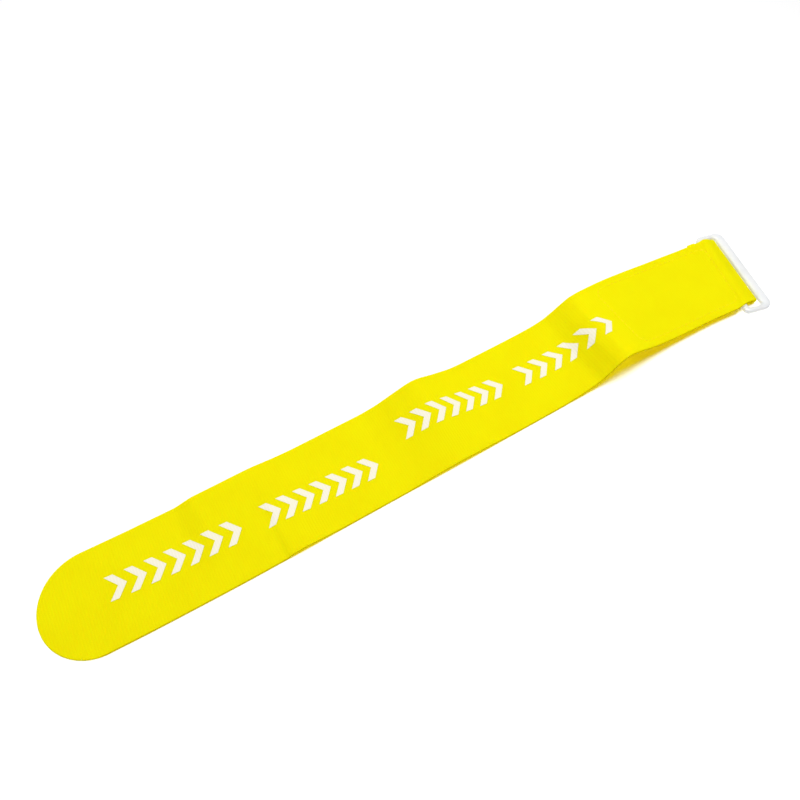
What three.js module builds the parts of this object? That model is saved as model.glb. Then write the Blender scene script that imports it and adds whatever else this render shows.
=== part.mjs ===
// Elastic team armband, lying as it is laid down on a table.
// A ribbed elastic strap has a rounded tip at one end. Its other end is folded round the bar of a
// plastic ring and sewn down, and a stiff fastening patch is sewn under the strap beside the fold.
// Millimetres, +Z up, +X from the strap's tip towards the ring, the table at z = 0.

import * as THREE from 'three';

// Strap
const STRAP_WIDTH = 50;
const STRAP_THICK = 1.2;
const STRAP_HALF = STRAP_WIDTH / 2;
const LAYER_GAP = 0.3;

// Ring: a rectangular loop of rounded bars
const RING_THICK = 3.2;
const RING_EDGE_ROUND = 1.4;
const INNER_BAR = 3.2;
const OUTER_BAR = 5.6;
const RING_ARM = 3;
const RING_WINDOW_WIDTH = 53;
const RING_WINDOW_DEPTH = 8.3;
const RING_CORNERS = { innerBar: 3, outerBar: 4.8 };
const WINDOW_CORNERS = { innerBar: 0.8, outerBar: 2 };

// Where the strap's end turns round the ring's inner bar and back
const BAR_ALONG = 401.6;
const BAR_HEIGHT = STRAP_THICK + LAYER_GAP + INNER_BAR / 2;
const RING_TURN = THREE.MathUtils.degToRad(-13.5);
const RING_SHIFT = 0.4;
const RING_RISE = 1.9;
const TURN_START = 388;
const TURN_END = 401;
const FOLD_ALONG = 408.6;
const FOLD_RADIUS = 1.8;
const FOLD_PULL_IN = 0.9;
const FOLD_PULL_REACH = 18;
const UNDER_LENGTH = 14.2;
const UNDER_RISE_START = 8.4;
const UNDER_RISE_END = 11.6;
const FOLD_SHIFT = 1.9;
const FOLD_SHIFT_START = 392;

// Patch sewn under the strap
const PATCH_START = 319;
const PATCH_END = 393.6;
const PATCH_HALF_WIDTH = 23.4;
const PATCH_CORNER = 6;
const PATCH_THICK = 1.4;

// Fineness of the facets
const ACROSS_STEPS = 8;
const ALONG_STEP = 4;
const ROUND_STEPS = 9;
const CORNER_STEPS = 6;
const SMALL = 0.05;

// The strap's middle line seen from above: distance from the tip, and how far it lies to the side.
const COURSE = [
  { along: 0, side: 2.3 },
  { along: 12, side: 2.1 },
  { along: 25, side: 1.7 },
  { along: 50, side: 0.8 },
  { along: 100, side: 0 },
  { along: 250, side: 0 },
  { along: 340, side: 0.85 },
  { along: 370, side: 0.35 },
  { along: 390, side: -1.0 },
  { along: 400, side: -2.1 },
  { along: BAR_ALONG, side: -2.3 },
];

// The strap's waves: how high its underside is above the table at its far and near edges.
const WAVES = [
  { along: 0, far: 0, near: 0 },
  { along: 70, far: 0, near: 0 },
  { along: 82, far: 2.8, near: 0 },
  { along: 103, far: 2.9, near: 0 },
  { along: 108, far: 2.8, near: 0.1 },
  { along: 112, far: 2.6, near: 1.6 },
  { along: 118, far: 1.7, near: 2.0 },
  { along: 126, far: 0.6, near: 1.2 },
  { along: 136, far: 0, near: 0.3 },
  { along: 146, far: 0, near: 0 },
  { along: 172, far: 0, near: 0 },
  { along: 182, far: 1.2, near: 0.9 },
  { along: 193, far: 4.7, near: 1.7 },
  { along: 205, far: 7.8, near: 2.1 },
  { along: 218, far: 3.8, near: 1.4 },
  { along: 231, far: 0.3, near: 0.4 },
  { along: 238, far: 0, near: 0 },
  { along: 268, far: 0, near: 0 },
  { along: 279, far: 0.2, near: 1.3 },
  { along: 286, far: 0.8, near: 3.0 },
  { along: 291, far: 1.9, near: 4.8 },
  { along: 297, far: 4.9, near: 9.8 },
  { along: 303, far: 8.8, near: 15.4 },
  { along: 308, far: 11.4, near: 17.2 },
  { along: 314, far: 12.1, near: 15.6 },
  { along: 323, far: 11.9, near: 12.2 },
  { along: 331, far: 11.3, near: 9.6 },
  { along: 346, far: 9.2, near: 6.6 },
  { along: 362, far: 6.8, near: 5.2 },
  { along: 376, far: 5.2, near: 4.7 },
  { along: 388, far: 4.6, near: 4.6 },
  { along: 394, far: 4.7, near: 4.4 },
  { along: 399, far: 5.6, near: 4.4 },
  { along: BAR_ALONG, far: 6.4, near: 5.0 },
  { along: FOLD_ALONG, far: 3.6, near: 3.6 },
];

// Smooth value of one column of a table, without overshoot between its rows.
function smooth(table, column, along) {
  const last = table.length - 1;
  let i = 0;
  while (i < last - 1 && along > table[i + 1].along) i += 1;
  const run = (k) => table[k + 1].along - table[k].along;
  const slope = (k) => (table[k + 1][column] - table[k][column]) / run(k);
  const tangent = (k) => {
    if (k === 0) return slope(0);
    if (k === last) return slope(last - 1);
    const before = slope(k - 1);
    const after = slope(k);
    if (before * after <= 0) return 0;
    return (2 * before * after) / (before + after);
  };
  const length = run(i);
  const u = (along - table[i].along) / length;
  if (u > 1) return table[last][column] + (along - table[last].along) * slope(last - 1);
  const u2 = u * u;
  const u3 = u2 * u;
  return (2 * u3 - 3 * u2 + 1) * table[i][column] + (u3 - 2 * u2 + u) * length * tangent(i)
    + (3 * u2 - 2 * u3) * table[i + 1][column] + (u3 - u2) * length * tangent(i + 1);
}

// Smooth step from 0 to 1 between two values.
function ease(from, to, value) {
  const u = THREE.MathUtils.clamp((value - from) / (to - from), 0, 1);
  return u * u * (3 - 2 * u);
}

// How far the strap is turned from +X, seen from above. Towards its end it takes the ring's turn.
function turnAt(along) {
  const rise = smooth(COURSE, 'side', along + SMALL) - smooth(COURSE, 'side', along - SMALL);
  return THREE.MathUtils.lerp(Math.atan2(rise, 2 * SMALL), RING_TURN, ease(TURN_START, TURN_END, along));
}

// A point beside the middle line: along it, across it (far side positive), and up.
function place(along, across, up) {
  const onCourse = Math.min(along, BAR_ALONG);
  const beyond = along - onCourse;
  const turn = turnAt(along);
  const x = onCourse + beyond * Math.cos(RING_TURN) - across * Math.sin(turn);
  const y = smooth(COURSE, 'side', onCourse) + beyond * Math.sin(RING_TURN) + across * Math.cos(turn);
  return new THREE.Vector3(x, y, up);
}

// Height of the strap's underside: a straight line across the strap between its two edges.
function underside(along, across) {
  const far = smooth(WAVES, 'far', along);
  const near = smooth(WAVES, 'near', along);
  return near + (far - near) * (across / STRAP_WIDTH + 0.5);
}

const FOLD_TOP = FOLD_ALONG;
const FOLD_BOTTOM = FOLD_TOP + Math.PI * FOLD_RADIUS;
const STRAP_END = FOLD_BOTTOM + UNDER_LENGTH;
const FOLD_HEIGHT = underside(FOLD_ALONG, 0) + STRAP_THICK / 2 - FOLD_RADIUS;

// The strap's middle surface. The distance runs along the top layer from the tip, half round the
// fold, and then back along the short layer underneath.
function strapMiddle(distance, across) {
  const beside = across + FOLD_SHIFT * ease(FOLD_SHIFT_START, FOLD_BOTTOM, distance);
  if (distance <= FOLD_TOP) {
    return place(distance, beside, underside(distance, beside) + STRAP_THICK / 2);
  }
  if (distance <= FOLD_BOTTOM) {
    const angle = Math.PI / 2 - (distance - FOLD_TOP) / FOLD_RADIUS;
    const forward = FOLD_RADIUS * Math.cos(angle);
    return place(FOLD_ALONG + forward, beside, FOLD_HEIGHT + FOLD_RADIUS * Math.sin(angle));
  }
  const back = distance - FOLD_BOTTOM;
  const along = FOLD_ALONG - back;
  const low = FOLD_HEIGHT - FOLD_RADIUS;
  const high = underside(along, beside) - LAYER_GAP - STRAP_THICK / 2;
  return place(along, beside, THREE.MathUtils.lerp(low, high, ease(UNDER_RISE_START, UNDER_RISE_END, back)));
}

// Half the strap's width: a round tip, and edges drawn in a little where the end turns back.
function strapHalfWidth(distance) {
  if (distance < STRAP_HALF) return Math.sqrt(STRAP_HALF ** 2 - (STRAP_HALF - distance) ** 2);
  const fromFold = Math.abs(distance - (FOLD_TOP + FOLD_BOTTOM) / 2);
  return STRAP_HALF - FOLD_PULL_IN * (1 - ease(0, FOLD_PULL_REACH, fromFold));
}

// Unit normal of a surface function, on the side that is up where the surface lies flat.
function normalOf(surface, distance, across) {
  const lengthwise = surface(distance + SMALL, across).sub(surface(distance - SMALL, across));
  const crosswise = surface(distance, across + SMALL).sub(surface(distance, across - SMALL));
  return lengthwise.cross(crosswise).normalize();
}

// A closed sheet: rows of points above and below a surface, joined along both edges and both ends.
function sheet(surface, rows, above, below) {
  const positions = [];
  const columns = ACROSS_STEPS + 1;
  const ringSize = 2 * columns;
  for (const { distance, half } of rows) {
    const upper = [];
    const lower = [];
    for (let j = 0; j < columns; j += 1) {
      const across = half * (2 * j / ACROSS_STEPS - 1);
      const middle = surface(distance, across);
      const normal = normalOf(surface, distance, across);
      upper.push(middle.clone().addScaledVector(normal, above));
      lower.push(middle.clone().addScaledVector(normal, below));
    }
    for (const point of [...upper, ...lower.reverse()]) positions.push(...point.toArray());
  }
  const index = [];
  for (let i = 0; i < rows.length - 1; i += 1) {
    for (let j = 0; j < ringSize; j += 1) {
      const a = i * ringSize + j;
      const b = i * ringSize + (j + 1) % ringSize;
      index.push(a, a + ringSize, b, b, a + ringSize, b + ringSize);
    }
  }
  const lastRow = (rows.length - 1) * ringSize;
  for (let j = 0; j < ACROSS_STEPS; j += 1) {
    const mirror = ringSize - 1 - j;
    index.push(j, j + 1, mirror, j + 1, mirror - 1, mirror);
    index.push(lastRow + j, lastRow + mirror, lastRow + j + 1);
    index.push(lastRow + j + 1, lastRow + mirror, lastRow + mirror - 1);
  }
  const geometry = new THREE.BufferGeometry();
  geometry.setAttribute('position', new THREE.Float32BufferAttribute(positions, 3));
  geometry.setIndex(index);
  geometry.computeVertexNormals();
  return geometry;
}

// Evenly spaced distances from one value to another, both included.
function spread(from, to, step) {
  const count = Math.ceil((to - from) / step);
  return Array.from({ length: count + 1 }, (_, i) => from + ((to - from) * i) / count);
}

function strapGeometry() {
  const tip = [];
  for (let i = 1; i < ROUND_STEPS; i += 1) {
    tip.push(STRAP_HALF * (1 - Math.cos((Math.PI / 2) * (i / ROUND_STEPS))));
  }
  const distances = [
    ...tip,
    ...spread(STRAP_HALF, BAR_ALONG - 6, ALONG_STEP),
    ...spread(BAR_ALONG - 4, FOLD_TOP, ALONG_STEP / 2),
    ...spread(FOLD_TOP, FOLD_BOTTOM, FOLD_RADIUS / 2).slice(1),
    ...spread(FOLD_BOTTOM, STRAP_END, ALONG_STEP / 2).slice(1),
  ];
  const rows = distances.map((distance) => ({ distance, half: strapHalfWidth(distance) }));
  return sheet(strapMiddle, rows, STRAP_THICK / 2, -STRAP_THICK / 2);
}

// The patch lies just under the strap, with its four corners rounded.
function patchGeometry() {
  const ends = [];
  for (let i = 0; i < ROUND_STEPS; i += 2) {
    const angle = (Math.PI / 2) * (i / (ROUND_STEPS - 1));
    ends.push({ inset: PATCH_CORNER * (1 - Math.sin(angle)), step: PATCH_CORNER * (1 - Math.cos(angle)) });
  }
  const rows = [
    ...ends.map(({ inset, step }) => ({ distance: PATCH_START + step, half: PATCH_HALF_WIDTH - inset })),
    ...spread(PATCH_START + PATCH_CORNER, PATCH_END - PATCH_CORNER, ALONG_STEP).slice(1, -1)
      .map((distance) => ({ distance, half: PATCH_HALF_WIDTH })),
    ...ends.map(({ inset, step }) => ({ distance: PATCH_END - step, half: PATCH_HALF_WIDTH - inset })).reverse(),
  ];
  const top = -STRAP_THICK / 2 - LAYER_GAP;
  return sheet(strapMiddle, rows, top, top - PATCH_THICK);
}

// Points round a rectangle with rounded corners, each of them once.
function roundedRectangle(lowX, highX, halfY, corners) {
  const quarters = [
    { radius: corners.outerBar, x: highX - corners.outerBar, side: 1 },
    { radius: corners.innerBar, x: lowX + corners.innerBar, side: 1 },
    { radius: corners.innerBar, x: lowX + corners.innerBar, side: -1 },
    { radius: corners.outerBar, x: highX - corners.outerBar, side: -1 },
  ];
  return quarters.flatMap(({ radius, x, side }, quarter) => {
    const y = side * (halfY - radius);
    return Array.from({ length: CORNER_STEPS + 1 }, (_, i) => {
      const angle = (Math.PI / 2) * (quarter + i / CORNER_STEPS);
      return new THREE.Vector2(x + radius * Math.cos(angle), y + radius * Math.sin(angle));
    });
  });
}

// The ring lies in its own XY plane, with the inner bar's axis on Y.
function ringGeometry() {
  const windowHalf = RING_WINDOW_WIDTH / 2;
  const windowStart = INNER_BAR / 2;
  const windowEnd = windowStart + RING_WINDOW_DEPTH;
  const outerPoints = roundedRectangle(
    -windowStart,
    windowEnd + OUTER_BAR,
    windowHalf + RING_ARM,
    RING_CORNERS,
  );
  const windowPoints = roundedRectangle(windowStart, windowEnd, windowHalf, WINDOW_CORNERS);
  const outline = new THREE.Shape(outerPoints);
  outline.holes.push(new THREE.Path(windowPoints));
  const geometry = new THREE.ExtrudeGeometry(outline, {
    depth: RING_THICK - 2 * RING_EDGE_ROUND,
    bevelEnabled: true,
    bevelThickness: RING_EDGE_ROUND,
    bevelSize: RING_EDGE_ROUND,
    bevelOffset: -RING_EDGE_ROUND,
    bevelSegments: 4,
  });
  geometry.translate(0, 0, RING_EDGE_ROUND - RING_THICK / 2);
  return geometry;
}

function part(name, geometry, color, roughness) {
  const mesh = new THREE.Mesh(geometry, new THREE.MeshStandardMaterial({ color, roughness, metalness: 0 }));
  mesh.name = name;
  return mesh;
}

const strap = part('strap', strapGeometry(), 0xf4ea08, 0.85);
const hookPatch = part('hook_patch', patchGeometry(), 0xe6d806, 0.9);
const ring = part('ring', ringGeometry(), 0xf2f2ee, 0.35);

// The ring's inner bar lies in the strap's fold, which holds the outer bar up off the table.
const outerBarMiddle = INNER_BAR / 2 + RING_WINDOW_DEPTH + OUTER_BAR / 2;
const outerBarFlat = OUTER_BAR / 2 - RING_EDGE_ROUND;
const ringDrop = BAR_HEIGHT - RING_THICK / 2 - RING_RISE;
ring.rotation.order = 'ZYX';
ring.rotation.set(0, Math.asin(ringDrop / (outerBarMiddle + outerBarFlat)), RING_TURN);
ring.position.copy(place(BAR_ALONG, RING_SHIFT, BAR_HEIGHT));

const armband = new THREE.Group();
armband.add(strap, hookPatch, ring);

// The origin is the middle of the armband's footprint, on the table.
const bounds = new THREE.Box3().setFromObject(armband, true);
const middle = bounds.getCenter(new THREE.Vector3());
armband.position.set(-middle.x, -middle.y, -bounds.min.z);

export default armband;
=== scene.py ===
"""Elastic team armband: fine surfaces, materials, camera and light over the CAD frame."""

import math

import bpy
import numpy as np
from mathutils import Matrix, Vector


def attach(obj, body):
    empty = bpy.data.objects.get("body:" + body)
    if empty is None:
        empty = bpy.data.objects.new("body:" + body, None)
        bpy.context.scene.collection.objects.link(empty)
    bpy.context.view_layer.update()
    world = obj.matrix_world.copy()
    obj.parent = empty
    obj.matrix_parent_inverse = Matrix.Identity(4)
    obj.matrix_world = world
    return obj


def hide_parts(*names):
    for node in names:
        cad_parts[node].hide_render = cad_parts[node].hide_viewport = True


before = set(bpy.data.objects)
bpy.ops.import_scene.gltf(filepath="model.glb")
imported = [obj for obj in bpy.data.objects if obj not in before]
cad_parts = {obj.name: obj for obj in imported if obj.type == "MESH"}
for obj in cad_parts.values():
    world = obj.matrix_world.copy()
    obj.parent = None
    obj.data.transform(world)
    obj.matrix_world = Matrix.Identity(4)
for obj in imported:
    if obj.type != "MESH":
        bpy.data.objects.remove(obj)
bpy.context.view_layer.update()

MM = 0.001
scene = bpy.context.scene

# Sizes in millimetres, the same as the CAD part's

ORIGIN_SHIFT = np.array([-211.4852, 3.2694, 0.0])

STRAP_HALF = 25.0
STRAP_THICK = 1.2
LAYER_GAP = 0.3
INNER_BAR = 3.2
OUTER_BAR = 5.6
RING_THICK = 3.2
RING_EDGE_ROUND = 1.4
RING_ARM = 3.0
WINDOW_HALF = 26.5
WINDOW_DEPTH = 8.3
RING_CORNERS = {"inner": 3.0, "outer": 4.8}
WINDOW_CORNERS = {"inner": 0.8, "outer": 2.0}
BAR_ALONG = 401.6
BAR_HEIGHT = STRAP_THICK + LAYER_GAP + INNER_BAR / 2
RING_TURN = math.radians(-13.5)
RING_SHIFT = 0.4
RING_RISE = 1.9
TURN_START = 388.0
TURN_END = 401.0
FOLD_TOP = 408.6
FOLD_RADIUS = 1.8
FOLD_BOTTOM = FOLD_TOP + math.pi * FOLD_RADIUS
FOLD_PULL_IN = 0.9
FOLD_PULL_REACH = 18.0
FOLD_SHIFT = 1.9
FOLD_SHIFT_START = 392.0
UNDER_LENGTH = 14.2
UNDER_RISE = (8.4, 11.6)
STRAP_END = FOLD_BOTTOM + UNDER_LENGTH
PATCH_START = 319.0
PATCH_END = 393.6
PATCH_HALF = 23.4
PATCH_CORNER = 6.0
PATCH_THICK = 1.4

# Columns: along, side
COURSE = np.array([
    (0, 2.3),
    (12, 2.1),
    (25, 1.7),
    (50, 0.8),
    (100, 0),
    (250, 0),
    (340, 0.85),
    (370, 0.35),
    (390, -1.0),
    (400, -2.1),
    (BAR_ALONG, -2.3),
])

# Columns: along, height of the underside at the far edge, and at the near edge
WAVES = np.array([
    (0, 0, 0),
    (70, 0, 0),
    (82, 2.8, 0),
    (103, 2.9, 0),
    (108, 2.8, 0.1),
    (112, 2.6, 1.6),
    (118, 1.7, 2.0),
    (126, 0.6, 1.2),
    (136, 0, 0.3),
    (146, 0, 0),
    (172, 0, 0),
    (182, 1.2, 0.9),
    (193, 4.7, 1.7),
    (205, 7.8, 2.1),
    (218, 3.8, 1.4),
    (231, 0.3, 0.4),
    (238, 0, 0),
    (268, 0, 0),
    (279, 0.2, 1.3),
    (286, 0.8, 3.0),
    (291, 1.9, 4.8),
    (297, 4.9, 9.8),
    (303, 8.8, 15.4),
    (308, 11.4, 17.2),
    (314, 12.1, 15.6),
    (323, 11.9, 12.2),
    (331, 11.3, 9.6),
    (346, 9.2, 6.6),
    (362, 6.8, 5.2),
    (376, 5.2, 4.7),
    (388, 4.6, 4.6),
    (394, 4.7, 4.4),
    (399, 5.6, 4.4),
    (BAR_ALONG, 6.4, 5.0),
    (FOLD_TOP, 3.6, 3.6),
])


def smooth(table, column, along):
    """Cubic through one column of a table. A row's slope is the harmonic mean of those beside it."""
    x = table[:, 0]
    y = table[:, column]
    slope = np.diff(y) / np.diff(x)
    same = slope[:-1] * slope[1:] > 0
    total = np.where(same, slope[:-1] + slope[1:], 1.0)
    inner = np.where(same, 2 * slope[:-1] * slope[1:] / total, 0.0)
    tangent = np.concatenate([slope[:1], inner, slope[-1:]])
    along = np.asarray(along, float)
    i = np.clip(np.searchsorted(x, along, side="left") - 1, 0, len(x) - 2)
    run = x[i + 1] - x[i]
    u = (along - x[i]) / run
    inside = (
        (2 * u**3 - 3 * u**2 + 1) * y[i]
        + (u**3 - 2 * u**2 + u) * run * tangent[i]
        + (3 * u**2 - 2 * u**3) * y[i + 1]
        + (u**3 - u**2) * run * tangent[i + 1]
    )
    return np.where(along > x[-1], y[-1] + (along - x[-1]) * slope[-1], inside)


def ease(low, high, value):
    """Smooth step from 0 to 1."""
    u = np.clip((value - low) / (high - low), 0, 1)
    return u * u * (3 - 2 * u)


def turn_at(along):
    """How far the strap is turned from +X. Near its end it takes the ring's turn."""
    step = 0.05
    rise = smooth(COURSE, 1, along + step) - smooth(COURSE, 1, along - step)
    own = np.arctan2(rise, 2 * step)
    return own + (RING_TURN - own) * ease(TURN_START, TURN_END, along)


def place(along, across, up):
    """Point beside the strap's middle line, in the row frame."""
    on_course = np.minimum(along, BAR_ALONG)
    beyond = along - on_course
    turn = turn_at(along)
    x = on_course + beyond * math.cos(RING_TURN) - across * np.sin(turn)
    y = smooth(COURSE, 1, on_course) + beyond * math.sin(RING_TURN) + across * np.cos(turn)
    return np.stack([x, y, up + 0 * x], -1) + ORIGIN_SHIFT


def underside(along, across):
    """Height of the strap's underside: straight across, between its far and near edges."""
    far = smooth(WAVES, 1, along)
    near = smooth(WAVES, 2, along)
    return near + (far - near) * (across / (2 * STRAP_HALF) + 0.5)


FOLD_HEIGHT = float(underside(np.array(FOLD_TOP), 0.0)) + STRAP_THICK / 2 - FOLD_RADIUS


def strap_middle(distance, across):
    """Middle surface of the strap: its top layer, half a turn at the fold, and the short layer back.

    In the turn the points lie on a half circle of FOLD_RADIUS. The short layer rises from its foot
    to just under the top layer by a smooth step.
    """
    beside = across + FOLD_SHIFT * ease(FOLD_SHIFT_START, FOLD_BOTTOM, distance)
    height = underside(distance, beside) + STRAP_THICK / 2
    top = place(np.minimum(distance, FOLD_TOP), beside, height)
    angle = np.pi / 2 - (distance - FOLD_TOP) / FOLD_RADIUS
    turn = place(
        FOLD_TOP + FOLD_RADIUS * np.cos(angle), beside, FOLD_HEIGHT + FOLD_RADIUS * np.sin(angle)
    )
    back = np.maximum(distance - FOLD_BOTTOM, 0)
    along = FOLD_TOP - back
    low = FOLD_HEIGHT - FOLD_RADIUS
    high = underside(along, beside) - LAYER_GAP - STRAP_THICK / 2
    under = place(along, beside, low + (high - low) * ease(*UNDER_RISE, back))
    on_top = (distance <= FOLD_TOP)[..., None]
    on_turn = (distance <= FOLD_BOTTOM)[..., None]
    return np.where(on_top, top, np.where(on_turn, turn, under))


def strap_point(distance, across, lift):
    """Point that stands lift above the strap's middle surface, along its normal."""
    step = 0.05
    inputs = [np.asarray(value, float) for value in (distance, across, lift)]
    distance, across, lift = np.broadcast_arrays(*inputs)
    lengthwise = strap_middle(distance + step, across) - strap_middle(distance - step, across)
    crosswise = strap_middle(distance, across + step) - strap_middle(distance, across - step)
    normal = np.cross(lengthwise, crosswise)
    normal /= np.linalg.norm(normal, axis=-1, keepdims=True)
    return strap_middle(distance, across) + normal * lift[..., None]


def half_width(distance):
    """Half the strap's width beyond the tip, drawn in a little where it turns round the bar."""
    from_fold = np.abs(distance - (FOLD_TOP + FOLD_BOTTOM) / 2)
    drawn_in = FOLD_PULL_IN * (1 - ease(0, FOLD_PULL_REACH, from_fold))
    return STRAP_HALF - drawn_in


# Mesh and material helpers


def grid_faces(rows, columns, closed=True, looped=False):
    """Quads between neighbouring rows of a grid of points.

    closed joins each row's end to its start, and looped joins the last row to the first.
    """
    row_steps = np.arange(rows if looped else rows - 1)
    column_steps = np.arange(columns if closed else columns - 1)
    i, j = np.meshgrid(row_steps, column_steps, indexing="ij")
    here = i * columns
    following = (i + 1) % rows * columns
    k = (j + 1) % columns
    quads = np.stack([here + j, following + j, following + k, here + k], -1)
    return quads.reshape(-1, 4).tolist()


def capped_faces(rows, columns):
    """Faces of a tube of closed rows, with one flat face over each end."""
    last = (rows - 1) * columns
    start_cap = list(range(columns))
    end_cap = [last + j for j in range(columns)][::-1]
    return grid_faces(rows, columns) + [start_cap, end_cap]


def make_object(name, points, faces, uv=None, smooth_shade=True):
    """Mesh object at the origin. points are in millimetres, uv is one pair per point in metres."""
    mesh = bpy.data.meshes.new(name)
    mesh.from_pydata((np.asarray(points).reshape(-1, 3) * MM).tolist(), [], faces)
    mesh.validate()
    if uv is not None:
        layer = mesh.uv_layers.new(name="cloth")
        index = np.zeros(len(mesh.loops), np.int32)
        mesh.loops.foreach_get("vertex_index", index)
        layer.data.foreach_set("uv", np.asarray(uv, np.float32).reshape(-1, 2)[index].ravel())
    mesh.polygons.foreach_set("use_smooth", np.full(len(mesh.polygons), smooth_shade))
    obj = bpy.data.objects.new(name, mesh)
    scene.collection.objects.link(obj)
    return obj


def colour(code):
    """sRGB hex code as a linear colour with full alpha."""
    parts = [int(code[i:i + 2], 16) / 255 for i in (1, 3, 5)]
    linear = [c / 12.92 if c <= 0.04045 else ((c + 0.055) / 1.055) ** 2.4 for c in parts]
    return (*linear, 1.0)


class Nodes:
    """Small helper that adds nodes to a material, with their settings and links."""

    def __init__(self, name):
        self.material = bpy.data.materials.new(name)
        self.material.use_nodes = True
        self.tree = self.material.node_tree
        self.shader = self.tree.nodes["Principled BSDF"]

    def add(self, kind, inputs=None, **settings):
        """Adds a node. inputs maps a socket's name or number to a value or a node's output."""
        node = self.tree.nodes.new(kind)
        for key, value in settings.items():
            setattr(node, key, value)
        self.connect(node, inputs or {})
        return node

    def connect(self, node, inputs):
        for key, value in inputs.items():
            if isinstance(value, bpy.types.NodeSocket):
                self.tree.links.new(value, node.inputs[key])
            else:
                node.inputs[key].default_value = value

    def math(self, operation, a, b=0.0):
        return self.add("ShaderNodeMath", {0: a, 1: b}, operation=operation).outputs[0]

    def mix(self, factor, a, b):
        node = self.add("ShaderNodeMix", data_type="RGBA")
        self.connect(node, {0: factor, 6: a, 7: b})
        return node.outputs[2]

    def ramp(self, value, low, high):
        """0 below low, 1 above high, and smooth between."""
        inputs = {0: value, 1: low, 2: high}
        return self.add("ShaderNodeMapRange", inputs, interpolation_type="SMOOTHSTEP").outputs[0]

    def noise(self, vector, per_metre, detail=2.0):
        inputs = {"Vector": vector, "Scale": per_metre, "Detail": detail}
        return self.add("ShaderNodeTexNoise", inputs).outputs["Fac"]

    def wave(self, value, pitch):
        """Sine of a length in metres, from -1 to 1, that repeats every pitch."""
        return self.math("SINE", self.math("MULTIPLY", value, 2 * math.pi / pitch))

    def let_through(self, tint):
        """Thin cloth lets part of the light through to what lies behind it, tinted by its yarn."""
        to_light = self.add("ShaderNodeLightPath").outputs["Is Shadow Ray"]
        passed = self.add("ShaderNodeBsdfTransparent", {"Color": tint})
        shaders = {0: to_light, 1: self.shader.outputs[0], 2: passed.outputs[0]}
        mixed = self.add("ShaderNodeMixShader", shaders)
        self.connect(self.tree.nodes["Material Output"], {"Surface": mixed.outputs[0]})

    def bump(self, height, distance, strength=1.0):
        inputs = {"Height": height, "Distance": distance, "Strength": strength}
        node = self.add("ShaderNodeBump", inputs)
        self.connect(self.shader, {"Normal": node.outputs[0]})


def cloth_uv(nodes):
    """Distance along the strap and across it, in metres, from the piece's own UV map."""
    uv = nodes.add("ShaderNodeUVMap", uv_map="cloth").outputs[0]
    split = nodes.add("ShaderNodeSeparateXYZ", {0: uv})
    return uv, split.outputs[0], split.outputs[1]


RIB_PITCH = 1.3 * MM
THREAD_PITCH = 0.7 * MM


def elastic_height(nodes, uv, along, across):
    """Ribs across the strap, broken by the threads that run along it, and a little unevenness."""
    wander = nodes.noise(uv, 180.0)
    shifted = nodes.math("ADD", along, nodes.math("MULTIPLY", wander, 0.5 * MM))
    rib = nodes.wave(shifted, RIB_PITCH)
    thread = nodes.wave(across, THREAD_PITCH)
    woven = nodes.math("ADD", rib, nodes.math("MULTIPLY", thread, 0.35))
    fuzz = nodes.noise(uv, 3500.0, 3.0)
    return rib, nodes.math("ADD", woven, nodes.math("MULTIPLY", fuzz, 0.8))


def elastic_material():
    """Bright yellow elastic webbing: matt and finely ribbed, with painted shade between the ribs and
    on both edges.
    """
    nodes = Nodes("yellow_elastic")
    uv, along, across = cloth_uv(nodes)
    rib, height = elastic_height(nodes, uv, along, across)
    patchy = nodes.noise(uv, 45.0, 3.0)
    # Painted shade: the colour is darker in the valleys between the ribs.
    valley = nodes.ramp(rib, 0.2, -1.0)
    in_valley = nodes.math("MULTIPLY", valley, 0.13)
    tint = nodes.mix(in_valley, colour("#e5de02"), colour("#dbcb00"))
    in_patch = nodes.math("MULTIPLY", nodes.ramp(patchy, 0.35, 0.7), 0.25)
    base = nodes.mix(in_patch, tint, colour("#e0d100"))
    # Painted shade: the colour darkens towards both rounded edges, where the side walls lie in
    # shade.
    edge = nodes.ramp(nodes.math("ABSOLUTE", across), 24.3 * MM, 25.0 * MM)
    painted_edge_shade = nodes.math("MULTIPLY", edge, 0.6)
    base = nodes.mix(painted_edge_shade, base, colour("#bfa800"))
    nodes.connect(nodes.shader, {
        "Base Color": base,
        "Roughness": 0.9,
        "Specular IOR Level": 0.05,
        "Subsurface Weight": 1.0,
        "Subsurface Radius": (1.0, 0.85, 0.03),
        "Subsurface Scale": 1.0 * MM,
    })
    nodes.let_through((0.59, 0.52, 0.0, 1.0))
    nodes.bump(height, 0.016 * MM)
    return nodes.material


def print_material():
    """Soft white ink on the elastic: the ribs show through, with a little yellow in the valleys."""
    nodes = Nodes("white_print")
    uv, along, across = cloth_uv(nodes)
    rib, height = elastic_height(nodes, uv, along, across)
    valley = nodes.ramp(rib, 0.0, -1.0)
    in_valley = nodes.math("MULTIPLY", valley, 0.25)
    base = nodes.mix(in_valley, colour("#ebe6d3"), colour("#e6deb4"))
    nodes.connect(nodes.shader, {"Base Color": base, "Roughness": 0.8, "Specular IOR Level": 0.2})
    nodes.bump(height, 0.03 * MM)
    return nodes.material


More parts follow.
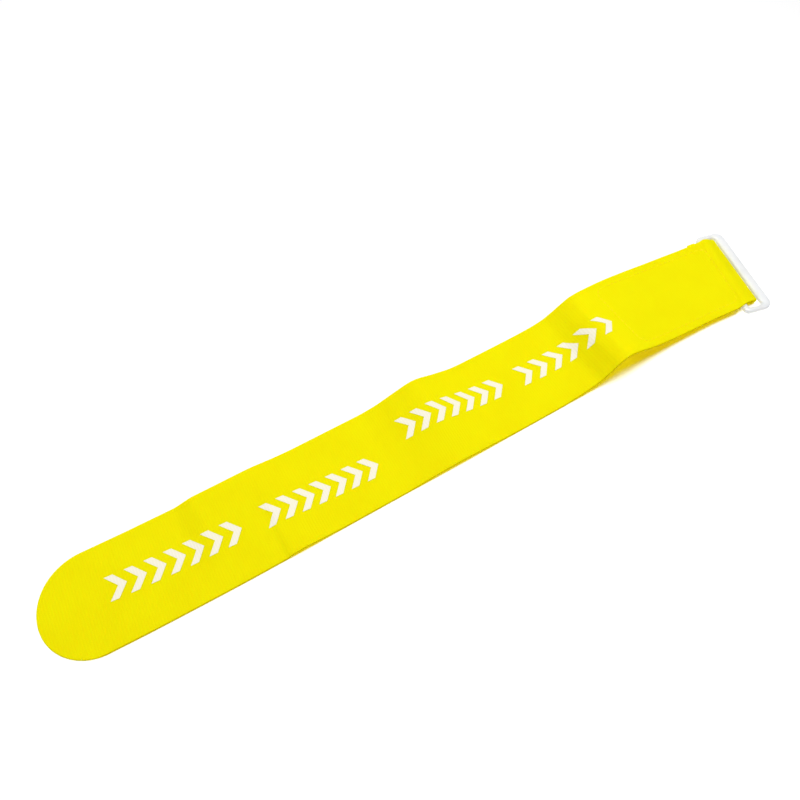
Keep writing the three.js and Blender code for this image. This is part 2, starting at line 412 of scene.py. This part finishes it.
def hook_material():
    """Yellow hook tape: a field of tiny stiff hooks in staggered rows on a woven ground."""
    nodes = Nodes("yellow_hook_tape")
    uv, along, across = cloth_uv(nodes)
    rows = nodes.wave(along, 2.0 * MM)
    columns = nodes.wave(across, 1.6 * MM)
    hooks = nodes.math("MULTIPLY", rows, columns)
    fuzz = nodes.noise(uv, 2500.0, 3.0)
    # Painted shade: the colour is lighter on the hooks' tops and darker on the ground between them.
    tip = nodes.ramp(hooks, 0.1, 0.8)
    base = nodes.mix(tip, colour("#f0dc00"), colour("#fdf000"))
    nodes.connect(nodes.shader, {
        "Base Color": base,
        "Roughness": 0.8,
        "Specular IOR Level": 0.05,
        "Subsurface Weight": 1.0,
        "Subsurface Radius": (1.0, 0.85, 0.03),
        "Subsurface Scale": 1.0 * MM,
    })
    nodes.let_through((0.92, 0.9, 0.3, 1.0))
    nodes.bump(nodes.math("ADD", hooks, nodes.math("MULTIPLY", fuzz, 0.6)), 0.25 * MM)
    return nodes.material


def thread_material():
    """Yellow polyester sewing thread, twisted, a touch shinier than the elastic."""
    nodes = Nodes("yellow_thread")
    uv, along, across = cloth_uv(nodes)
    twist = nodes.wave(nodes.math("ADD", along, across), 0.45 * MM)
    # Painted shade: the colour is darker in the grooves of the twist and lighter on its crests.
    base = nodes.mix(nodes.ramp(twist, -1.0, 1.0), colour("#e3cf00"), colour("#f4e512"))
    nodes.connect(nodes.shader, {"Base Color": base, "Roughness": 0.6, "Specular IOR Level": 0.2})
    nodes.let_through((0.92, 0.9, 0.3, 1.0))
    nodes.bump(twist, 0.02 * MM)
    return nodes.material


def plastic_material():
    """White moulded plastic: softly glossy, with a faint moulded unevenness."""
    nodes = Nodes("white_plastic")
    place_on = nodes.add("ShaderNodeTexCoord").outputs["Object"]
    mould = nodes.noise(place_on, 90.0, 2.0)
    grain = nodes.noise(place_on, 2200.0, 2.0)
    base = nodes.mix(nodes.ramp(mould, 0.3, 0.8), colour("#dfe1e4"), colour("#dadcde"))
    rough = nodes.add("ShaderNodeMapRange", {0: grain, 3: 0.28, 4: 0.42}).outputs[0]
    nodes.connect(nodes.shader, {
        "Base Color": base,
        "Roughness": rough,
        "Subsurface Weight": 1.0,
        "Subsurface Radius": (1.0, 0.95, 0.9),
        "Subsurface Scale": 6.0 * MM,
    })
    nodes.let_through((0.85, 0.85, 0.83, 1.0))
    nodes.bump(nodes.math("ADD", mould, nodes.math("MULTIPLY", grain, 0.1)), 0.04 * MM)
    return nodes.material


# Strap

EDGE_STEPS = 6
STRAP_POINTS = 41
TIP_ROWS = 40
TIP_FIRST_ANGLES = (0.3, 1.2)
STRAP_ROW_STEP = 1.0
FINE_ROWS_START = 398.0
FINE_ROW_STEP = 0.4
TURN_ROWS = 18
UNDER_ROWS = 40


def strap_section(count, round_steps, thick):
    """Section as side fraction, inset from the edge and lift: flat faces and half-round edges."""
    r = thick / 2
    flat = np.linspace(-1, 1, count)
    angle = np.linspace(np.pi / 2, -np.pi / 2, round_steps + 1)[1:-1]
    inset = r - r * np.cos(angle)
    top = np.stack([flat, np.full(count, r), np.full(count, r)], -1)
    far = np.stack([np.ones(len(angle)), inset, r * np.sin(angle)], -1)
    bottom = np.stack([flat[::-1], np.full(count, r), np.full(count, -r)], -1)
    near = np.stack([-np.ones(len(angle)), inset, -r * np.sin(angle)], -1)
    return np.concatenate([top, far, bottom, near])


def build_strap():
    """Rows of the cross-section along the strap.

    In the tip a row at an angle lies at radius - radius * cos(angle) from the end, and reaches
    radius * sin(angle) to each side. The radius is half the width, less the edge's roundness.
    """
    side, inset, lift = strap_section(STRAP_POINTS, EDGE_STEPS, STRAP_THICK).T
    later_angles = np.linspace(3, 90, TIP_ROWS, endpoint=False)
    tip_angle = np.radians(np.concatenate([TIP_FIRST_ANGLES, later_angles]))[:, None]
    tip_radius = STRAP_HALF - inset[None, :]
    tip_distance = STRAP_HALF - tip_radius * np.cos(tip_angle)
    tip_across = side * tip_radius * np.sin(tip_angle)
    straight = np.concatenate([
        np.arange(STRAP_HALF, FINE_ROWS_START, STRAP_ROW_STEP),
        np.arange(FINE_ROWS_START, FOLD_TOP, FINE_ROW_STEP),
        np.linspace(FOLD_TOP, FOLD_BOTTOM, TURN_ROWS, endpoint=False),
        np.linspace(FOLD_BOTTOM, STRAP_END, UNDER_ROWS),
    ])[:, None]
    distance = np.concatenate([tip_distance, straight + 0 * side])
    across = np.concatenate([tip_across, side * (half_width(straight) - inset)])
    points = strap_point(distance, across, lift + 0 * distance)
    uv = np.stack([distance, across], -1) * MM
    return make_object("strap_cloth", points, capped_faces(*distance.shape), uv)


strap_cloth = build_strap()
strap_cloth.data.materials.append(elastic_material())
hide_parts("strap")
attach(strap_cloth, "band")


# Hook patch, sewn under the strap

PATCH_POINTS = 31
CORNER_ROWS = 12


def build_patch():
    """Rows of a thin closed section under the strap, with quarter-circle corners at both ends."""
    side, inset, lift = strap_section(PATCH_POINTS, EDGE_STEPS, PATCH_THICK).T
    angle = np.radians(np.linspace(4, 90, CORNER_ROWS))
    start = PATCH_START + PATCH_CORNER * (1 - np.cos(angle))
    end = PATCH_END - PATCH_CORNER * (1 - np.cos(angle[::-1]))
    corner = PATCH_CORNER * (1 - np.sin(angle))
    middle = np.arange(PATCH_START + PATCH_CORNER + 1, PATCH_END - PATCH_CORNER - 0.5, 1.0)
    distance = np.concatenate([start, middle, end])[:, None] + 0 * side
    half = PATCH_HALF - np.concatenate([corner, 0 * middle, corner[::-1]])[:, None]
    across = side * (half - inset)
    under = -STRAP_THICK / 2 - LAYER_GAP - PATCH_THICK / 2
    points = strap_point(distance, across, under + lift + 0 * distance)
    uv = np.stack([distance, across], -1) * MM
    return make_object("hook_tape", points, capped_faces(*distance.shape), uv)


hook_tape = build_patch()
hook_tape.data.materials.append(hook_material())
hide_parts("hook_patch")
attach(hook_tape, "band")


# Plain print: four rows of chevrons

PRINT_LIFT = STRAP_THICK / 2 + 0.03
PRINT_FILM = 0.05
PRINT_HEIGHT = 12.0
CHEVRON_STROKE = 4.0
CHEVRON_POINT = 5.0
CHEVRON_PITCH = 8.6

# Columns: start along the strap, end, and the row's middle across the strap at start and end
PRINT_ROWS = np.array([
    (31.7, 96.0, 2.0, -1.1),
    (107.0, 168.0, -1.6, -4.5),
    (186.5, 248.0, 5.4, 2.1),
    (258.0, 315.3, 1.6, -1.4),
])


def build_print():
    """Thin films on the strap.

    Each chevron is a grid over v, across the strap, and u, over its stroke's width. A point lies
    forward by CHEVRON_POINT * (1 - 2 * |v|) + CHEVRON_STROKE * u.
    """
    steps_across = 15
    steps_along = 5
    v = np.linspace(-0.5, 0.5, steps_across)
    u = np.linspace(0, 1, steps_along)
    v_grid, u_grid = np.meshgrid(v, u, indexing="ij")
    forward = CHEVRON_POINT * (1 - 2 * np.abs(v_grid)) + CHEVRON_STROKE * u_grid
    points = []
    faces = []
    uv = []
    ring = np.arange(steps_across * steps_along).reshape(steps_across, steps_along)
    rim = np.concatenate([ring[0, :-1], ring[:-1, -1], ring[-1, :0:-1], ring[:0:-1, 0]])
    for start, end, side_start, side_end in PRINT_ROWS:
        room = end - start - CHEVRON_POINT - CHEVRON_STROKE
        count = int(room // CHEVRON_PITCH) + 1
        for first in np.linspace(start, end - CHEVRON_POINT - CHEVRON_STROKE, count):
            along = first + forward
            middle = side_start + (side_end - side_start) * (along - start) / (end - start)
            across = middle + PRINT_HEIGHT * v_grid
            base = len(points)
            for lift in (PRINT_LIFT + PRINT_FILM, PRINT_LIFT):
                layer = strap_point(along, across, lift + 0 * along).reshape(-1, 3)
                points.extend(layer.tolist())
                uv.extend((np.stack([along, across], -1).reshape(-1, 2) * MM).tolist())
            size = steps_across * steps_along
            quads = np.array(grid_faces(steps_across, steps_along, closed=False))
            faces.extend((quads + base).tolist())
            faces.extend((quads[:, ::-1] + base + size).tolist())
            after = np.roll(rim, -1)
            wall = np.stack([rim, after, after + size, rim + size], -1) + base
            faces.extend(wall[:, ::-1].tolist())
    return make_object("print_film", points, faces, uv, smooth_shade=False)


print_film = build_print()
print_film.data.materials.append(print_material())
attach(print_film, "band")


# Stitching

SEAM_START = 321.5
SEAM_END = 399.3
SEAM_HALF = 20.3
SEAM_CORNER = 5.0
STITCH_PITCH = 2.9
STITCH_LENGTH = 2.3
STITCH_BULGE = 0.12
STITCH_DIP = 0.08
THREAD_RADIUS = 0.2
THREAD_POINTS = 7
THREAD_SIDES = 6
EDGE_CLEAR = 0.4


def seam_path(step):
    """Both ends of each stitch, at even steps round a rectangle with rounded corners."""
    c = SEAM_CORNER
    corners = [
        (SEAM_END - c, SEAM_HALF - c, 0),
        (SEAM_START + c, SEAM_HALF - c, 90),
        (SEAM_START + c, c - SEAM_HALF, 180),
        (SEAM_END - c, c - SEAM_HALF, 270),
    ]
    dense = []
    for x, y, first in corners:
        angle = np.radians(np.linspace(first, first + 90, 12))
        dense.append(np.stack([x + c * np.cos(angle), y + c * np.sin(angle)], -1))
    dense = np.concatenate(dense + [dense[0][:1]])
    length = np.concatenate([[0], np.cumsum(np.linalg.norm(np.diff(dense, axis=0), axis=1))])
    count = int(round(length[-1] / step))
    both_ends = np.array([0, STITCH_LENGTH / step])
    at = (np.arange(count)[:, None] + both_ends) * length[-1] / count
    return np.stack([np.interp(at, length, dense[:, k]) for k in (0, 1)], -1)


def on_top(along, across, lift):
    """Point on the seam as seen from above, lift above the strap's upper face."""
    return strap_point(along, across, STRAP_THICK / 2 + lift)


def below(along, across, lift):
    """Point on the seam seen from below: on the patch, or past it on the strap's turned-back end."""
    on_patch = strap_point(along, across, -STRAP_THICK / 2 - LAYER_GAP - PATCH_THICK - lift)
    turned = FOLD_BOTTOM + FOLD_TOP - along
    aside = across + FOLD_SHIFT * (ease(FOLD_SHIFT_START, FOLD_BOTTOM, along) - 1)
    on_end = strap_point(turned, aside, STRAP_THICK / 2 + lift)
    return np.where((along < PATCH_END)[..., None], on_patch, on_end)


def build_stitches(name, put):
    """One closed thread per stitch, over t from one end to the other.

    It rises by STITCH_BULGE * sin(pi * t) - STITCH_DIP, and its radius is THREAD_RADIUS times the
    square root of 1 - |2 * t - 1| ** 4.
    """
    ends = seam_path(STITCH_PITCH)
    if put is below:
        gap_start = PATCH_END - EDGE_CLEAR
        gap_end = FOLD_TOP - UNDER_LENGTH + EDGE_CLEAR
        along = ends[..., 0]
        ends = ends[~((along.max(1) > gap_start) & (along.min(1) < gap_end))]
    t = np.linspace(0, 1, THREAD_POINTS)
    radius = THREAD_RADIUS * np.sqrt(np.clip(1 - np.abs(2 * t - 1) ** 4, 0.02, 1))
    turn = np.linspace(0, 2 * np.pi, THREAD_SIDES, endpoint=False)
    points = []
    faces = []
    uv = []
    thread_faces = capped_faces(THREAD_POINTS, THREAD_SIDES)
    for a, b in ends:
        line = a + (b - a) * t[:, None]
        rise = STITCH_BULGE * np.sin(np.pi * t) - STITCH_DIP
        across_dir = np.array([a[1] - b[1], b[0] - a[0]])
        across_dir = across_dir / np.linalg.norm(across_dir)
        ring_uv = line[:, None, :] + across_dir * (radius[:, None] * np.cos(turn))[..., None]
        lift = rise[:, None] + radius[:, None] * np.sin(turn)
        base = len(points)
        points.extend(put(ring_uv[..., 0], ring_uv[..., 1], lift).reshape(-1, 3).tolist())
        uv.extend((ring_uv.reshape(-1, 2) * MM).tolist())
        faces.extend([base + k for k in face] for face in thread_faces)
    return make_object(name, points, faces, uv)


thread = thread_material()
top_stitches = build_stitches("top_stitches", on_top)
under_stitches = build_stitches("under_stitches", below)
for stitches in (top_stitches, under_stitches):
    stitches.data.materials.append(thread)
    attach(stitches, "band")


# Ring

RING_SIDES = 24
RING_SQUARENESS = 0.72


def corner_points(low_x, high_x, half_y, corners, steps=10):
    """Points round a rectangle with rounded corners, the same number on every corner."""
    quarters = [
        (corners["outer"], high_x - corners["outer"], 1),
        (corners["inner"], low_x + corners["inner"], 1),
        (corners["inner"], low_x + corners["inner"], -1),
        (corners["outer"], high_x - corners["outer"], -1),
    ]
    points = []
    for quarter, (radius, x, side) in enumerate(quarters):
        angle = np.pi / 2 * (quarter + np.linspace(0, 1, steps))
        y = side * (half_y - radius)
        points.append(np.stack([x + radius * np.cos(angle), y + radius * np.sin(angle)], -1))
    return np.concatenate(points)


def build_ring():
    """Closed section swept between the ring's outline and its window.

    The section is a superellipse over phi: wide by |cos(phi)| ** RING_SQUARENESS between the two
    outlines and tall by |sin(phi)| ** RING_SQUARENESS, each with its own sign. The whole is pitched
    about the inner bar, turned by RING_TURN and put in the fold.
    """
    start = INNER_BAR / 2
    end = start + WINDOW_DEPTH
    outer = corner_points(-start, end + OUTER_BAR, WINDOW_HALF + RING_ARM, RING_CORNERS)
    inner = corner_points(start, end, WINDOW_HALF, WINDOW_CORNERS)
    phi = np.linspace(0, 2 * np.pi, RING_SIDES, endpoint=False)
    wide = np.sign(np.cos(phi)) * np.abs(np.cos(phi)) ** RING_SQUARENESS
    tall = np.sign(np.sin(phi)) * np.abs(np.sin(phi)) ** RING_SQUARENESS * RING_THICK / 2
    mid = (outer + inner) / 2
    reach = (outer - inner) / 2
    flat = mid[:, None, :] + reach[:, None, :] * wide[None, :, None]
    out = flat[..., 0]
    up = np.broadcast_to(tall, out.shape)
    drop = BAR_HEIGHT - RING_THICK / 2 - RING_RISE
    pitch = math.asin(drop / (end + OUTER_BAR - RING_EDGE_ROUND))
    x = out * math.cos(pitch) + up * math.sin(pitch)
    z = -out * math.sin(pitch) + up * math.cos(pitch)
    y = flat[..., 1]
    centre = place(np.array(BAR_ALONG), np.array(RING_SHIFT), BAR_HEIGHT)
    c, s = math.cos(RING_TURN), math.sin(RING_TURN)
    points = np.stack([x * c - y * s, x * s + y * c, z], -1) + centre
    return make_object("ring_moulding", points, grid_faces(*points.shape[:2], looped=True))


ring_moulding = build_ring()
ring_moulding.data.materials.append(plastic_material())
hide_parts("ring")
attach(ring_moulding, "ring")


# Camera

camera_data = bpy.data.cameras.new("camera")
camera_data.lens = 29.25
camera_data.sensor_width = 36.0
camera = bpy.data.objects.new("camera", camera_data)
camera.location = (-0.1014, -0.1214, 0.2990)
camera.rotation_euler = (math.radians(90 - 60.32), 0, math.radians(-30.4))
scene.collection.objects.link(camera)
scene.camera = camera


# Floor and light


def floor_material():
    """Plain white studio sheet, matt, with the faintest unevenness."""
    nodes = Nodes("white_floor")
    place_on = nodes.add("ShaderNodeTexCoord").outputs["Object"]
    cloud = nodes.noise(place_on, 3.0, 2.0)
    base = nodes.mix(nodes.ramp(cloud, 0.2, 0.8), colour("#ffffff"), colour("#fdfdfd"))
    nodes.connect(nodes.shader, {"Base Color": base, "Roughness": 0.9})
    return nodes.material


FLOOR_HALF = 4000.0
FLOOR_HEIGHT = -0.02

floor_corners = np.array([(-1, -1), (1, -1), (1, 1), (-1, 1)]) * FLOOR_HALF
floor_points = np.column_stack([floor_corners, np.full(4, FLOOR_HEIGHT)])
floor = make_object("floor", floor_points, [[0, 1, 2, 3]])
floor.data.materials.append(floor_material())


def area_light(name, location, target, size, power):
    """Square soft box that faces a point."""
    data = bpy.data.lights.new(name, "AREA")
    data.size = size
    data.energy = power
    light = bpy.data.objects.new(name, data)
    light.location = location
    aim = Vector(target) - Vector(location)
    light.rotation_euler = aim.to_track_quat("-Z", "Y").to_euler()
    scene.collection.objects.link(light)


area_light("key_softbox", (0.12, 0.06, 1.3), (0.05, 0, 0), 0.4, 13.1)
area_light("top_softbox", (-0.1, 0.06, 1.3), (0, 0, 0), 0.4, 6.15)
area_light("backdrop_softbox", (-0.1, 0.9, 1.3), (-0.1, 0.9, 0), 0.4, 3.2)

world = bpy.data.worlds.new("studio")
world.use_nodes = True
world.node_tree.nodes["Background"].inputs["Color"].default_value = (1, 1, 1, 1)
world.node_tree.nodes["Background"].inputs["Strength"].default_value = 0.01
scene.world = world

# The photo's bright yellow needs a plain display transform: the film-like one greys it.
scene.view_settings.view_transform = "Standard"
